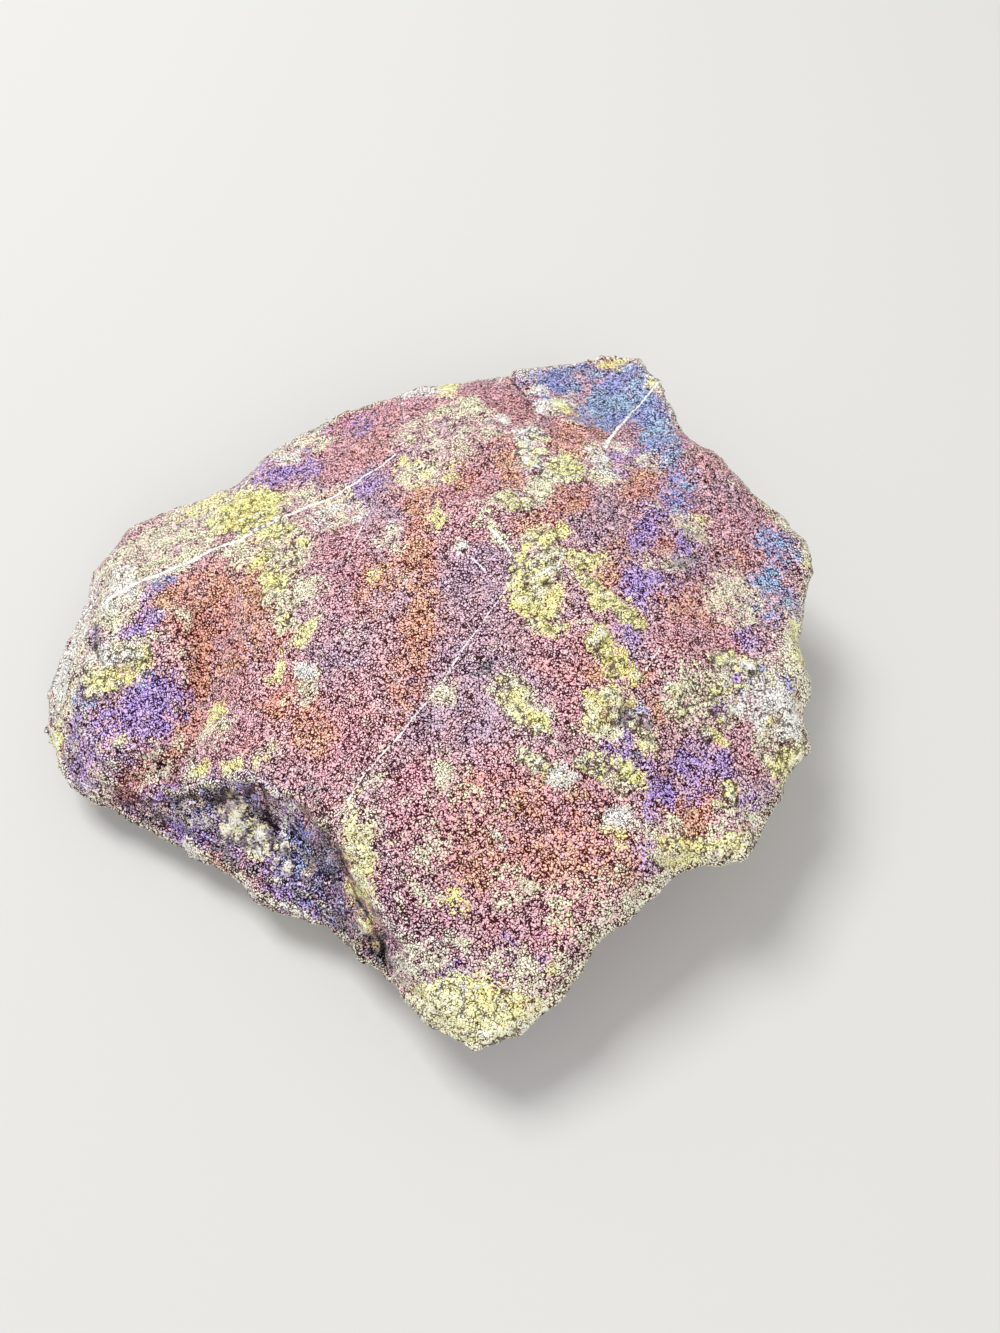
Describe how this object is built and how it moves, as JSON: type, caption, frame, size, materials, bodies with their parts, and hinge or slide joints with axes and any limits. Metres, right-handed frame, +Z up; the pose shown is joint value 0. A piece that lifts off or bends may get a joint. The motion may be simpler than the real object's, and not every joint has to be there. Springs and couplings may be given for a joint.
{
  "type": "peacock ore",
  "caption": "Flat, rough-broken piece of iridescent peacock ore, a mineral specimen that rests on a small flat spot.",
  "frame": {"origin": "on the supporting surface, under the middle of the stone's box", "axes": "+Z up, out of the broad upper face; the pointed near end of the stone is towards -Y and the low left lobe towards -X"},
  "size_m": [0.0534, 0.0536, 0.0138],
  "materials": {
    "tarnished_ore": "satin, slightly metallic tarnish in mauve, copper, violet, blue and pale yellow, with a fine glittering grain"
  },
  "bodies": {
    "root": {"ore_stone": "tarnished_ore"}
  },
  "joints": []
}
